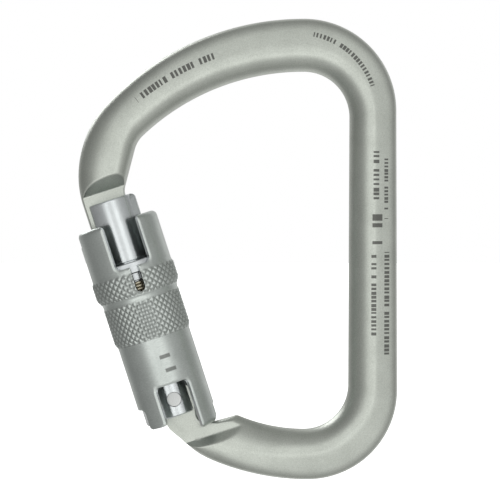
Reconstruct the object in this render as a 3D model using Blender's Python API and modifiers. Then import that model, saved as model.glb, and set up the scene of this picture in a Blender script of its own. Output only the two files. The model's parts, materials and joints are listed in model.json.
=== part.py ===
"""Locking carabiner: a forged steel D with a sprung gate under a knurled, lift-and-turn locking sleeve.

Sizes below are in millimetres and are turned into metres as each shape is made. The carabiner lies in
the XZ plane: X points to the spine's side, Z to the crown, and -Y to the front. The origin is the top
of the crown's inner bend, where the carabiner hangs on its anchor.

The gate, sleeve and hinge are drawn in the gate's own frame, which turns about the hinge rivet:
across (local X) points into the loop, depth (local Y) to the back, and along (local Z) to the nose.
"""
import math

import bmesh
import bpy

MM = 0.001
OBJECT_NAME = "locking_carabiner"

# The gate's frame: the rivet's centre, and how far the gate leans out from upright.
RIVET_X, RIVET_Z = -31.46, -84.61
GATE_LEAN = 17.9
SLEEVE_AXIS_ACROSS = -0.4   # the sleeve's axis passes just outside the rivet
SLEEVE_REST_TURN = 8.5      # the resting sleeve's window faces a little into the loop

# The forged bar: half its thickness and the corner radius of its section.
BAR_HALF_DEPTH = 6.0
BAR_CORNER = 5.3
BAR_CORNER_STEPS = 6

# The milled tongues at both ends of the bar.
TONGUE_HALF_DEPTH = 2.5
NOSE_TIP_ALONG = 46.2
NOSE_OUTER_ACROSS = SLEEVE_AXIS_ACROSS - 6.8
NOSE_INNER_ACROSS = SLEEVE_AXIS_ACROSS + 4.45
NOSE_SHOULDER_ALONG = 56.6
SHELF_ALONG = -9.05
FOOT_FLAT_ALONG = -12.2
FACET_REACH = 8.0           # how far the 45 degree facets run past the tongue's faces

# The cam at the hinge tongue's top pushes the plunger up as the gate opens.
CAM_OFFSET = 1.0
CAM_RADIUS = 3.8
# The tongue's outer side from below the cam down the heel, then a point well inside the bar.
HINGE_TONGUE_HEEL = [(-4.0, -1.2), (-4.1, -5.6), (-3.6, -7.35), (-2.95, -8.65), (-2.25, -9.97)]
HINGE_TONGUE_HEEL += [(-1.4, -11.35), (0.6, -11.65)]
HINGE_TONGUE_INNER = 3.8
HINGE_TONGUE_ROOT = 2.0     # how far the tongue's root is sunk into the bar below the shelf
HINGE_FILLET = 3.0

RIVET_RADIUS = 1.85
RIVET_HOLE_RADIUS = 2.0

# The gate, turned in two diameters.
GATE_TOP_ALONG = 54.1
GATE_BOTTOM_ALONG = -4.4
GATE_HEAD_RADIUS = 5.9
GATE_STEM_RADIUS = 5.0
GATE_SHOULDER_ALONG = 37.5
GATE_SLOT_HALF = 2.65
RIB_ACROSS = SLEEVE_AXIS_ACROSS + 6.8
RIB_HALF_DEPTH = 2.6

# The collar on the gate's stem, its key and its cross pin.
COLLAR_TOP = 37.2
COLLAR_FLANGE_BOTTOM = 34.2
SPRING_SEAT = 32.3          # a step under the flange, which the sleeve's spring bears on
SPRING_SEAT_RADIUS = 7.9
COLLAR_BOTTOM = 30.0
COLLAR_RADIUS = 9.2
COLLAR_SPIGOT_RADIUS = 6.5
COLLAR_BORE = 5.15
GUIDE_PIN_ALONG = 35.6
GUIDE_PIN_RADIUS = 0.9
CROSS_PIN_ALONG = 31.6
CROSS_PIN_RADIUS = 0.8
PIN_HOLE_GAP = 0.15

# The locking sleeve.
SLEEVE_TOP = 48.2
SLEEVE_BOTTOM = -8.85
SLEEVE_UPPER_RADIUS = 10.7
SLEEVE_LOWER_RADIUS = 9.65
KNURL_RADIUS = 11.15
NECK_RADIUS = 10.05
LOWER_KNURL_RADIUS = 10.12
SLEEVE_UPPER_BORE = 9.4
SLEEVE_LOWER_BORE = 8.3
WINDOW_HALF = 4.6
WINDOW_BOTTOM = 36.0
WINDOW_CORNER = 1.4
KEY_SLOT_HALF = 1.0
KEY_SLOT_BOTTOM = 29.4
FOOT_SLOT_HALF = 4.4
FOOT_SLOT_TOP = 4.4
OUTER_NOTCH_HALF = 4.75
OUTER_NOTCH_TOP = -0.3
OUTER_SKIRT_BOTTOM = -5.6
NOSE_NOTCH_HALF = 2.9
NOSE_NOTCH_BOTTOM = 44.4
SHELF_NOTCH_HALF = 3.1
SHELF_NOTCH_TOP = -4.25
SLEEVE_LIFT = 5.0
SLEEVE_TWIST = 90.0
POCKET_RADIUS = 9.95
POCKET_GAP = 0.35

# Rings inside the sleeve.
RING_GROOVE_RADIUS = 8.9
RING_GROOVE = (5.3, 6.7)
RETAINING_RING = (5.5, 6.5)
RETAINING_RING_INNER = 6.4
RETAINING_RING_OUTER = 8.7
BUSH = (7.0, 9.4)
BUSH_BORE = 5.15
BUSH_OUTER = 8.1
WASHER = (9.7, 10.7)
WASHER_BORE = 5.2
WASHER_OUTER = 8.0

# Springs: mean radius of the coil, wire radius, number of turns.
SLEEVE_SPRING = (7.2, 0.4, 9)
SLEEVE_SPRING_GAP = 0.1
GATE_SPRING = (1.0, 0.25, 7)
PLUNGER_ACROSS = 1.2
PLUNGER_RADIUS = 1.35
PLUNGER_BORE = 1.6
PLUNGER_LENGTH = 8.0
PLUNGER_TIP_GAP = 0.15
PLUNGER_BORE_TOP = 18.0

FULL_TURN = 2.0 * math.pi
PAST = 1.0                  # how far a cutter runs past the surface it cuts
OUTSIDE = 14.0              # a distance that is outside every round piece


def line(length):
    """A straight stretch of an outline."""
    return ("line", length, 0.0)


def arc(radius, turn):
    """A clockwise arc of an outline, with its turn in degrees; both are negative the other way."""
    return ("arc", radius, turn)


# The bar's outer and inner outlines from the nose, round the crown and the spine, to the foot.
# Each zone gives the number of sections lofted in it, its outer stretches and its inner stretches.
BAR_ZONES = (
    (3, (line(8.62),), (line(8.02),)),
    (10, (arc(24.71, 18.92), arc(27.66, 26.6)), (arc(3.67, 32.65), line(9.94), arc(7.52, 15.0))),
    (4, (arc(27.66, 16.02),), (arc(7.52, 16.78),)),
    (9, (arc(70.06, 46.6),), (arc(60.44, 43.74),)),
    (14, (arc(23.89, 89.44),), (arc(11.84, 89.91),)),
    (1, (line(72.52),), (line(69.37),)),
    (14, (arc(23.23, 90.0),), (arc(11.67, 90.81),)),
    (6, (arc(64.06, 22.79),), (arc(44.69, 21.78),)),
    (10, (arc(23.93, 10.27), arc(13.74, 9.84), line(2.96)), (arc(-1.81, -39.56), line(14.8))),
)


def gate_to_world(across, along):
    """The X and Z of a point given in the gate's frame."""
    lean = math.radians(GATE_LEAN)
    x = RIVET_X + across * math.cos(lean) - along * math.sin(lean)
    z = RIVET_Z + across * math.sin(lean) + along * math.cos(lean)
    return x, z


def clear_scene():
    for obj in list(bpy.data.objects):
        bpy.data.objects.remove(obj, do_unlink=True)
    for collection in list(bpy.data.collections):
        bpy.data.collections.remove(collection)


def new_collection(name):
    collection = bpy.data.collections.new(name)
    bpy.context.scene.collection.children.link(collection)
    return collection


def make_material(name, colour, roughness, metallic=1.0):
    material = bpy.data.materials.new(name)
    material.use_nodes = True
    shader = material.node_tree.nodes["Principled BSDF"]
    shader.inputs["Base Color"].default_value = (*colour, 1.0)
    shader.inputs["Roughness"].default_value = roughness
    shader.inputs["Metallic"].default_value = metallic
    return material


def add_object(name, data, collection, parent=None, material=None):
    obj = bpy.data.objects.new(name, data)
    collection.objects.link(obj)
    obj.parent = parent
    if material is not None:
        data.materials.append(material)
    return obj


def add_empty(name, collection, location, rotation, parent=None):
    empty = bpy.data.objects.new(name, None)
    collection.objects.link(empty)
    empty.parent = parent
    empty.location = [value * MM for value in location]
    empty.rotation_euler = rotation
    return empty


def mesh_from(name, bm):
    bmesh.ops.recalc_face_normals(bm, faces=bm.faces)
    mesh = bpy.data.meshes.new(name)
    bm.to_mesh(mesh)
    bm.free()
    return mesh


def prism_mesh(name, outline, low, high, direction):
    """A flat outline pushed from low to high along X, Y or Z of its own frame."""
    place = {
        "X": lambda a, b, t: (t, a, b),
        "Y": lambda a, b, t: (a, t, b),
        "Z": lambda a, b, t: (a, b, t),
    }[direction]
    bm = bmesh.new()
    corners = [bm.verts.new([value * MM for value in place(a, b, low)]) for a, b in outline]
    face = bm.faces.new(corners)
    grown = bmesh.ops.extrude_face_region(bm, geom=[face])
    moved = [item for item in grown["geom"] if isinstance(item, bmesh.types.BMVert)]
    shift = [value * MM for value in place(0.0, 0.0, high - low)]
    bmesh.ops.translate(bm, verts=moved, vec=shift)
    return mesh_from(name, bm)


def arc_points(centre, radius, start, end, steps):
    """Points on an arc from one angle to another, in degrees."""
    points = []
    for step in range(steps + 1):
        angle = math.radians(start + (end - start) * step / steps)
        points.append((centre[0] + radius * math.cos(angle), centre[1] + radius * math.sin(angle)))
    return points


def box_outline(low_a, high_a, low_b, high_b):
    return [(low_a, low_b), (high_a, low_b), (high_a, high_b), (low_a, high_b)]


def cut(target, cutter, operation="DIFFERENCE"):
    modifier = target.modifiers.new(cutter.name, "BOOLEAN")
    modifier.operation = operation
    modifier.solver = "EXACT"
    modifier.object = cutter


def hide_cutter(obj):
    obj.hide_render = True
    obj.display_type = "WIRE"


class Workshop:
    """The collections, the frames that pieces are placed in, and the materials."""

    def __init__(self):
        self.parts = new_collection(OBJECT_NAME)
        self.cutters = new_collection("cutters")
        rivet = (RIVET_X, 0.0, RIVET_Z)
        self.gate_frame = add_empty("gate_hinge", self.parts, rivet, (0.0, -math.radians(GATE_LEAN), 0.0))
        centre = (SLEEVE_AXIS_ACROSS, 0.0, 0.0)
        self.axis_frame = add_empty("sleeve_axis", self.parts, centre, (0.0, 0.0, 0.0), self.gate_frame)
        turn = (0.0, 0.0, math.radians(SLEEVE_REST_TURN))
        self.sleeve_frame = add_empty("sleeve_turn", self.parts, centre, turn, self.gate_frame)
        self.forged = make_material("forged_steel", (0.42, 0.43, 0.40), 0.45)
        self.turned = make_material("bright_zinc", (0.62, 0.65, 0.68), 0.22)
        self.sleeve = make_material("satin_sleeve", (0.48, 0.50, 0.47), 0.38)
        self.satin = make_material("satin_steel", (0.50, 0.51, 0.50), 0.42)
        self.wire = make_material("spring_wire", (0.45, 0.42, 0.34), 0.30)

    def cutter(self, name, mesh, parent):
        obj = add_object(name, mesh, self.cutters, parent)
        hide_cutter(obj)
        return obj

    def prism_cutter(self, name, outline, low, high, direction, parent):
        return self.cutter(name, prism_mesh(name, outline, low, high, direction), parent)

    def pin_cutter(self, name, radius, low, high, direction, centre, parent):
        """A round hole's cutter along X or Y, its centre given in the other two directions."""
        outline = arc_points(centre, radius, 0.0, 360.0, 32)[:-1]
        return self.prism_cutter(name, outline, low, high, direction, parent)

    def turned_piece(self, name, profile, steps, parent, material):
        """A profile of (radius, along) points turned about the parent's Z axis.

        The profile runs down the outside. If it starts and ends away from the axis it is a ring,
        and its last point joins its first.
        """
        mesh = bpy.data.meshes.new(name)
        points = [(radius * MM, 0.0, along * MM) for radius, along in profile]
        edges = [(index, index + 1) for index in range(len(points) - 1)]
        if profile[0][0] > 0.0:
            edges.append((len(points) - 1, 0))
        mesh.from_pydata(points, edges, [])
        obj = add_object(name, mesh, self.parts, parent, material)
        screw = obj.modifiers.new("turn", "SCREW")
        screw.angle = FULL_TURN
        screw.steps = steps
        screw.render_steps = steps
        screw.use_merge_vertices = True
        screw.merge_threshold = 0.00001
        return obj

    def spring(self, name, coil, low, high, location, parent):
        """A coil of round wire between two heights, its ends closing flat."""
        mean_radius, wire_radius, turns = coil
        points_per_turn = 16
        count = turns * points_per_turn
        closed_turn = 1.0 / turns
        curve = bpy.data.curves.new(name, "CURVE")
        curve.dimensions = "3D"
        curve.bevel_depth = wire_radius * MM
        curve.bevel_resolution = 2
        curve.use_fill_caps = True
        spline = curve.splines.new("POLY")
        spline.points.add(count)
        span = high - low - 2.0 * wire_radius
        dead = 2.3 * wire_radius
        for index in range(count + 1):
            share = index / count
            angle = FULL_TURN * turns * share
            if share < closed_turn:
                rise = dead * share / closed_turn
            elif share > 1.0 - closed_turn:
                rise = span - dead * (1.0 - share) / closed_turn
            else:
                middle = (share - closed_turn) / (1.0 - 2.0 * closed_turn)
                rise = dead + (span - 2.0 * dead) * middle
            height = low + wire_radius + rise
            place = (mean_radius * math.cos(angle), mean_radius * math.sin(angle), height)
            spline.points[index].co = (*[value * MM for value in place], 1.0)
        obj = add_object(name, curve, self.parts, parent, self.wire)
        obj.location = [value * MM for value in location]
        return obj


def walk_outline(start, heading, zones):
    """Follow straight and curved stretches, and return evenly spaced points in each zone."""
    x, z = start
    points = [start]
    for steps, stretches in zones:
        lengths = []
        for kind, size, turn in stretches:
            lengths.append(size if kind == "line" else size * math.radians(turn))
        total = sum(lengths)
        for step in range(1, steps + 1):
            left = total * step / steps
            px, pz, angle = x, z, heading
            for (kind, size, turn), length in zip(stretches, lengths):
                run = min(left, length)
                left -= run
                if kind == "line":
                    px += run * math.cos(angle)
                    pz += run * math.sin(angle)
                else:
                    after = angle - run / size
                    px += size * (math.sin(angle) - math.sin(after))
                    pz += size * (math.cos(after) - math.cos(angle))
                    angle = after
            points.append((px, pz))
        x, z, heading = px, pz, angle
    return points


def bar_section(outer, inner):
    """The rounded-corner section between an outer and an inner point of the bar's outline."""
    half_width = math.dist(outer, inner) / 2.0
    middle = ((outer[0] + inner[0]) / 2.0, (outer[1] + inner[1]) / 2.0)
    to_outer = ((outer[0] - middle[0]) / half_width, (outer[1] - middle[1]) / half_width)
    corner = min(BAR_CORNER, half_width)
    section = []
    for quarter, (side, face) in enumerate(((1, 1), (-1, 1), (-1, -1), (1, -1))):
        centre = (side * (half_width - corner), face * (BAR_HALF_DEPTH - corner))
        start = 90.0 * quarter
        for a, b in arc_points(centre, corner, start, start + 90.0, BAR_CORNER_STEPS):
            section.append((middle[0] + to_outer[0] * a, b, middle[1] + to_outer[1] * a))
    return section


def bar_mesh():
    """The bent bar as one loft along both of its outlines."""
    heading = math.radians(90.0 + GATE_LEAN)
    outer_start = gate_to_world(NOSE_OUTER_ACROSS, NOSE_TIP_ALONG)
    inner_start = gate_to_world(NOSE_INNER_ACROSS, NOSE_TIP_ALONG)
    outer = walk_outline(outer_start, heading, [(steps, out) for steps, out, _ in BAR_ZONES])
    inner = walk_outline(inner_start, heading, [(steps, into) for steps, _, into in BAR_ZONES])
    bm = bmesh.new()
    rings = []
    for outer_point, inner_point in zip(outer, inner):
        section = bar_section(outer_point, inner_point)
        rings.append([bm.verts.new([value * MM for value in point]) for point in section])
    count = len(rings[0])
    for ring, following in zip(rings, rings[1:]):
        for index in range(count):
            after = (index + 1) % count
            bm.faces.new((ring[index], ring[after], following[after], following[index]))
    bm.faces.new(rings[0])
    bm.faces.new(rings[-1])
    return mesh_from("frame", bm)


def facet_outline(side, limit_along, edge_along, away):
    """The (depth, along) outline that mills one face of a tongue and ends in a 45 degree facet."""
    face = side * TONGUE_HALF_DEPTH
    outer = side * (TONGUE_HALF_DEPTH + FACET_REACH)
    facet_along = edge_along + away * FACET_REACH
    return [(face, limit_along), (face, edge_along), (outer, facet_along), (outer, limit_along)]


def hinge_tongue_outline():
    """The hinge tongue's (across, along) outline: a cam on a post that flares into the shelf."""
    root = SHELF_ALONG - HINGE_TONGUE_ROOT
    fillet_centre = (HINGE_TONGUE_INNER + HINGE_FILLET, SHELF_ALONG + HINGE_FILLET)
    outline = arc_points((CAM_OFFSET, 0.0), CAM_RADIUS, -20.0, 160.0, 20)
    outline += HINGE_TONGUE_HEEL
    outline += [(fillet_centre[0] + PAST, root), (fillet_centre[0] + PAST, SHELF_ALONG)]
    outline += arc_points(fillet_centre, HINGE_FILLET, 270.0, 180.0, 8)
    return outline


def build_frame(shop):
    frame = add_object("frame", bar_mesh(), shop.parts, None, shop.forged)
    for side, word in ((-1, "front"), (1, "back")):
        nose = facet_outline(side, NOSE_TIP_ALONG - 3.0, NOSE_SHOULDER_ALONG, 1.0)
        cutter = shop.prism_cutter("nose_mill_" + word, nose, -OUTSIDE, OUTSIDE, "X", shop.gate_frame)
        cut(frame, cutter)
    for side, word in ((-1, "front"), (1, "back")):
        foot = facet_outline(side, 4.0, FOOT_FLAT_ALONG, -1.0)
        name = "foot_mill_" + word
        cutter = shop.prism_cutter(name, foot, -2.0 * OUTSIDE, 2.0 * OUTSIDE, "X", shop.gate_frame)
        cut(frame, cutter)
    half = TONGUE_HALF_DEPTH
    tongue = prism_mesh("hinge_tongue", hinge_tongue_outline(), -half, half, "Y")
    cut(frame, shop.cutter("hinge_tongue", tongue, shop.gate_frame), "UNION")
    centre = (0.0, 0.0)
    radius = RIVET_HOLE_RADIUS
    hole = shop.pin_cutter("rivet_hole", radius, -OUTSIDE, OUTSIDE, "Y", centre, shop.gate_frame)
    cut(frame, hole)
    return hole


def build_gate(shop, rivet_hole):
    edge = 0.4
    profile = [
        (0.0, GATE_TOP_ALONG),
        (GATE_HEAD_RADIUS - edge, GATE_TOP_ALONG),
        (GATE_HEAD_RADIUS, GATE_TOP_ALONG - edge),
        (GATE_HEAD_RADIUS, GATE_SHOULDER_ALONG),
        (GATE_STEM_RADIUS, GATE_SHOULDER_ALONG),
        (GATE_STEM_RADIUS, GATE_BOTTOM_ALONG),
        (0.0, GATE_BOTTOM_ALONG),
    ]
    gate = shop.turned_piece("gate", profile, 48, shop.axis_frame, shop.turned)
    rib_top = GATE_TOP_ALONG - 0.02
    rib_corner = 1.2
    rib = [(3.0, 39.0), (RIB_ACROSS, 39.0)]
    rib += arc_points((RIB_ACROSS - rib_corner, rib_top - rib_corner), rib_corner, 0.0, 90.0, 5)
    rib.append((3.0, rib_top))
    rib_mesh = prism_mesh("gate_rib", rib, -RIB_HALF_DEPTH, RIB_HALF_DEPTH, "Y")
    cut(gate, shop.cutter("gate_rib", rib_mesh, shop.gate_frame), "UNION")
    slot_low, slot_high = NOSE_TIP_ALONG - 0.9, GATE_TOP_ALONG + PAST
    nose_slot = box_outline(-OUTSIDE, NOSE_INNER_ACROSS + 0.4, slot_low, slot_high)
    half = GATE_SLOT_HALF
    cut(gate, shop.prism_cutter("gate_nose_slot", nose_slot, -half, half, "Y", shop.gate_frame))
    hinge_slot = box_outline(-OUTSIDE, OUTSIDE, GATE_BOTTOM_ALONG - PAST, 5.0)
    cut(gate, shop.prism_cutter("gate_hinge_slot", hinge_slot, -half, half, "Y", shop.gate_frame))
    cut(gate, rivet_hole)
    bore = arc_points((PLUNGER_ACROSS, 0.0), PLUNGER_BORE, 0.0, 360.0, 24)[:-1]
    cut(gate, shop.prism_cutter("plunger_bore", bore, 4.0, PLUNGER_BORE_TOP, "Z", shop.gate_frame))
    radius = CROSS_PIN_RADIUS + PIN_HOLE_GAP
    centre = (0.0, CROSS_PIN_ALONG)
    hole = shop.pin_cutter("cross_pin_hole", radius, -OUTSIDE, OUTSIDE, "X", centre, shop.axis_frame)
    cut(gate, hole)
    return hole


def pin_mesh(name, radius, low, high, centre, direction):
    """A round pin with chamfered ends along X or Y."""
    edge = 0.15
    bm = bmesh.new()
    sides = 24
    stations = ((low, radius - edge), (low + edge, radius), (high - edge, radius), (high, radius - edge))
    rings = []
    for place, size in stations:
        ring = []
        for a, b in arc_points(centre, size, 0.0, 360.0, sides)[:-1]:
            point = (place, a, b) if direction == "X" else (a, place, b)
            ring.append(bm.verts.new([value * MM for value in point]))
        rings.append(ring)
    for ring, following in zip(rings, rings[1:]):
        for index in range(sides):
            after = (index + 1) % sides
            bm.faces.new((ring[index], ring[after], following[after], following[index]))
    bm.faces.new(rings[0])
    bm.faces.new(rings[-1])
    return mesh_from(name, bm)


def build_rivet(shop):
    reach = 4.85
    mesh = pin_mesh("hinge_rivet", RIVET_RADIUS, -reach, reach, (0.0, 0.0), "Y")
    add_object("hinge_rivet", mesh, shop.parts, shop.gate_frame, shop.turned)


def build_collar(shop, cross_pin_hole):
    edge = 0.3
    profile = [
        (COLLAR_RADIUS - edge, COLLAR_TOP),
        (COLLAR_RADIUS, COLLAR_TOP - edge),
        (COLLAR_RADIUS, COLLAR_FLANGE_BOTTOM),
        (SPRING_SEAT_RADIUS, COLLAR_FLANGE_BOTTOM),
        (SPRING_SEAT_RADIUS, SPRING_SEAT),
        (COLLAR_SPIGOT_RADIUS, SPRING_SEAT),
        (COLLAR_SPIGOT_RADIUS, COLLAR_BOTTOM),
        (COLLAR_BORE, COLLAR_BOTTOM),
        (COLLAR_BORE, COLLAR_TOP),
    ]
    collar = shop.turned_piece("spring_collar", profile, 48, shop.axis_frame, shop.satin)
    cut(collar, cross_pin_hole)
    radius = GUIDE_PIN_RADIUS + PIN_HOLE_GAP
    centre = (0.0, GUIDE_PIN_ALONG)
    cut(collar, shop.pin_cutter("guide_pin_hole", radius, 6.0, OUTSIDE, "X", centre, shop.axis_frame))
    guide = pin_mesh("guide_pin", GUIDE_PIN_RADIUS, 6.5, 9.75, centre, "X")
    add_object("guide_pin", guide, shop.parts, shop.axis_frame, shop.turned)
    reach = COLLAR_SPIGOT_RADIUS - 0.15
    cross = pin_mesh("collar_cross_pin", CROSS_PIN_RADIUS, -reach, reach, (0.0, CROSS_PIN_ALONG), "X")
    add_object("collar_cross_pin", cross, shop.parts, shop.axis_frame, shop.turned)


def window_outline():
    """The sleeve's front window with the narrow key slot below it."""
    corner = WINDOW_CORNER
    half = WINDOW_HALF
    floor = WINDOW_BOTTOM
    right = [(half + corner, SLEEVE_TOP + PAST)]
    right += arc_points((half + corner, SLEEVE_TOP - corner), corner, 90.0, 180.0, 5)
    right += arc_points((half - corner, floor + corner), corner, 0.0, -90.0, 5)
    slot_centre = KEY_SLOT_BOTTOM + KEY_SLOT_HALF
    right.append((KEY_SLOT_HALF, floor))
    right += arc_points((0.0, slot_centre), KEY_SLOT_HALF, 0.0, -90.0, 6)
    left = [(-across, along) for across, along in reversed(right[:-1])]
    return right + left


def arch_outline(half, top, bottom, corner):
    """An opening with a flat top and rounded top corners."""
    right = [(half, bottom)] + arc_points((half - corner, top - corner), corner, 0.0, 90.0, 5)
    return right + [(-across, along) for across, along in reversed(right)]


def sleeve_profile():
    rim = 1.4
    foot = 1.2
    top = arc_points((SLEEVE_UPPER_RADIUS - rim, SLEEVE_TOP - rim), rim, 90.0, 0.0, 5)
    outside = [
        (SLEEVE_UPPER_RADIUS, 34.7),
        (KNURL_RADIUS, 34.3),
        (KNURL_RADIUS, 30.0),
        (NECK_RADIUS, 27.9),
        (NECK_RADIUS, 27.2),
        (LOWER_KNURL_RADIUS, 27.0),
        (LOWER_KNURL_RADIUS, 17.8),
        (SLEEVE_LOWER_RADIUS, 16.6),
    ]
    bottom = arc_points((SLEEVE_LOWER_RADIUS - foot, SLEEVE_BOTTOM + foot), foot, 0.0, -90.0, 5)
    inside = [
        (SLEEVE_LOWER_BORE, SLEEVE_BOTTOM),
        (SLEEVE_LOWER_BORE, RING_GROOVE[0]),
        (RING_GROOVE_RADIUS, RING_GROOVE[0]),
        (RING_GROOVE_RADIUS, RING_GROOVE[1]),
        (SLEEVE_LOWER_BORE, RING_GROOVE[1]),
        (SLEEVE_LOWER_BORE, 28.3),
        (SLEEVE_UPPER_BORE, 29.0),
        (SLEEVE_UPPER_BORE, SLEEVE_TOP - 0.3),
    ]
    return top + outside + bottom + inside


def pocket_outline():
    """The sector that the guide pin sweeps inside the sleeve's wall as the sleeve turns."""
    margin = math.degrees(math.asin((GUIDE_PIN_RADIUS + POCKET_GAP) / SLEEVE_UPPER_BORE)) + 1.0
    inner = arc_points((0.0, 0.0), SLEEVE_UPPER_BORE - PAST, SLEEVE_TWIST + margin, -margin, 12)
    outer = arc_points((0.0, 0.0), POCKET_RADIUS, -margin, SLEEVE_TWIST + margin, 16)
    return outer + inner


def build_sleeve(shop):
    sleeve = shop.turned_piece("locking_sleeve", sleeve_profile(), 72, shop.sleeve_frame, shop.sleeve)
    frame = shop.sleeve_frame
    inside = -(SLEEVE_LOWER_BORE - 3.0)
    cut(sleeve, shop.prism_cutter("window", window_outline(), -OUTSIDE, inside, "Y", frame))
    foot = arch_outline(FOOT_SLOT_HALF, FOOT_SLOT_TOP, SLEEVE_BOTTOM - PAST, WINDOW_CORNER)
    cut(sleeve, shop.prism_cutter("foot_slot", foot, -OUTSIDE, OUTSIDE, "Y", frame))
    notch = arch_outline(OUTER_NOTCH_HALF, OUTER_NOTCH_TOP, SLEEVE_BOTTOM - PAST, WINDOW_CORNER)
    cut(sleeve, shop.prism_cutter("outer_notch", notch, -OUTSIDE, -5.0, "X", frame))
    skirt = box_outline(-OUTSIDE, -0.5, SLEEVE_BOTTOM - PAST, OUTER_SKIRT_BOTTOM)
    cut(sleeve, shop.prism_cutter("outer_skirt", skirt, -OUTSIDE, OUTSIDE, "Y", frame))
    nose = arch_outline(NOSE_NOTCH_HALF, SLEEVE_TOP + 2.0 * PAST, NOSE_NOTCH_BOTTOM, 0.5)
    cut(sleeve, shop.prism_cutter("nose_notch", nose, -OUTSIDE, -6.0, "X", shop.axis_frame))
    shelf = arch_outline(SHELF_NOTCH_HALF, SHELF_NOTCH_TOP, SLEEVE_BOTTOM - PAST, 0.8)
    cut(sleeve, shop.prism_cutter("shelf_notch", shelf, 6.0, OUTSIDE, "X", shop.axis_frame))
    reach = GUIDE_PIN_RADIUS + POCKET_GAP
    low, high = GUIDE_PIN_ALONG - reach - SLEEVE_LIFT, GUIDE_PIN_ALONG + reach
    cut(sleeve, shop.prism_cutter("pin_pocket", pocket_outline(), low, high, "Z", shop.axis_frame))


def ring_profile(outer, bore, low, high, edge=0.2):
    return [
        (outer - edge, high),
        (outer, high - edge),
        (outer, low + edge),
        (outer - edge, low),
        (bore, low),
        (bore, high),
    ]


def build_sleeve_rings(shop):
    bush = ring_profile(BUSH_OUTER, BUSH_BORE, *BUSH)
    shop.turned_piece("sleeve_bush", bush, 48, shop.sleeve_frame, shop.satin)
    washer = ring_profile(WASHER_OUTER, WASHER_BORE, *WASHER)
    shop.turned_piece("thrust_washer", washer, 48, shop.axis_frame, shop.satin)
    ring = ring_profile(RETAINING_RING_OUTER, RETAINING_RING_INNER, *RETAINING_RING, edge=0.15)
    retaining = shop.turned_piece("sleeve_retaining_ring", ring, 48, shop.sleeve_frame, shop.satin)
    gap = box_outline(-2.0, 2.0, RETAINING_RING[0] - PAST, RETAINING_RING[1] + PAST)
    cut(retaining, shop.prism_cutter("ring_gap", gap, 4.0, OUTSIDE, "Y", shop.sleeve_frame))


def build_plunger(shop):
    cam_top = math.sqrt(CAM_RADIUS**2 - (PLUNGER_ACROSS - CAM_OFFSET) ** 2)
    tip = cam_top + PLUNGER_TIP_GAP
    profile = [(0.0, tip + PLUNGER_LENGTH), (PLUNGER_RADIUS, tip + PLUNGER_LENGTH)]
    profile += arc_points((0.0, tip + PLUNGER_RADIUS), PLUNGER_RADIUS, 0.0, -90.0, 6)
    profile[-1] = (0.0, tip)
    plunger = shop.turned_piece("gate_plunger", profile, 24, shop.gate_frame, shop.turned)
    plunger.location = (PLUNGER_ACROSS * MM, 0.0, 0.0)
    low = tip + PLUNGER_LENGTH + 0.1
    place = (PLUNGER_ACROSS, 0.0, 0.0)
    shop.spring("gate_spring", GATE_SPRING, low, PLUNGER_BORE_TOP - 0.1, place, shop.gate_frame)


def main():
    clear_scene()
    shop = Workshop()
    rivet_hole = build_frame(shop)
    cross_pin_hole = build_gate(shop, rivet_hole)
    build_rivet(shop)
    build_collar(shop, cross_pin_hole)
    build_sleeve(shop)
    build_sleeve_rings(shop)
    build_plunger(shop)
    low, high = WASHER[1] + SLEEVE_SPRING_GAP, SPRING_SEAT - SLEEVE_SPRING_GAP
    shop.spring("sleeve_spring", SLEEVE_SPRING, low, high, (0.0, 0.0, 0.0), shop.axis_frame)


main()
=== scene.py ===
import json
import math

import bmesh
import bpy
import numpy as np
from mathutils import Matrix, Vector


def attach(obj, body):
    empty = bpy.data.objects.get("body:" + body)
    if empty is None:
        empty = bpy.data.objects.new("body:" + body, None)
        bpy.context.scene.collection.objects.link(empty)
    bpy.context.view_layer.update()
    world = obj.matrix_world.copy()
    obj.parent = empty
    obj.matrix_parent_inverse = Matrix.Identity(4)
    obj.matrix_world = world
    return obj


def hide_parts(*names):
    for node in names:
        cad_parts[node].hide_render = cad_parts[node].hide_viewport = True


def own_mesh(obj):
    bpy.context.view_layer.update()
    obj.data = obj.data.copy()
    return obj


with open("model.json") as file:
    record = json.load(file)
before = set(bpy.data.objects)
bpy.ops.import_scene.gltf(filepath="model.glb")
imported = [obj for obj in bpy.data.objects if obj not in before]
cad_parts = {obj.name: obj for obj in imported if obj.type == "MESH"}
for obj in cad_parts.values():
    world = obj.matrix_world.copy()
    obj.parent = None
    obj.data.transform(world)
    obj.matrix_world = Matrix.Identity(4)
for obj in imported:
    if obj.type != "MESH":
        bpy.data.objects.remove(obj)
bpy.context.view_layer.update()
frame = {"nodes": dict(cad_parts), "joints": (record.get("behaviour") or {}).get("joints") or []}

# Sizes below are in millimetres and are turned into metres as each mesh is made.
# Gate frame: across (local X) points into the loop, depth (local Y) to the back, along (local Z)
# to the nose. Its origin is the hinge rivet. The axis frame has the same directions at the sleeve's
# own axis, and the sleeve's frame is that one turned by REST_TURN, as the sleeve stands at rest.
MM = 0.001
JOINTS = {joint["name"]: joint for joint in frame["joints"]}
RIVET = Vector(JOINTS["gate_open"]["pos_m"])
SLEEVE_POINT = Vector(JOINTS["sleeve_twist"]["pos_m"])
ALONG = Vector(JOINTS["sleeve_lift"]["axis"]).normalized()
DEPTH = Vector((0.0, 1.0, 0.0))
ACROSS = DEPTH.cross(ALONG)
LEAN = math.atan2(-ALONG.x, ALONG.z)
REST_TURN = math.radians(8.5)


def frame_at(origin, turn=0.0):
    """The matrix of the gate's directions at a point, turned about the along direction."""
    columns = Matrix((ACROSS, DEPTH, ALONG)).transposed().to_4x4()
    return Matrix.Translation(origin) @ columns @ Matrix.Rotation(turn, 4, "Z")


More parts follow.
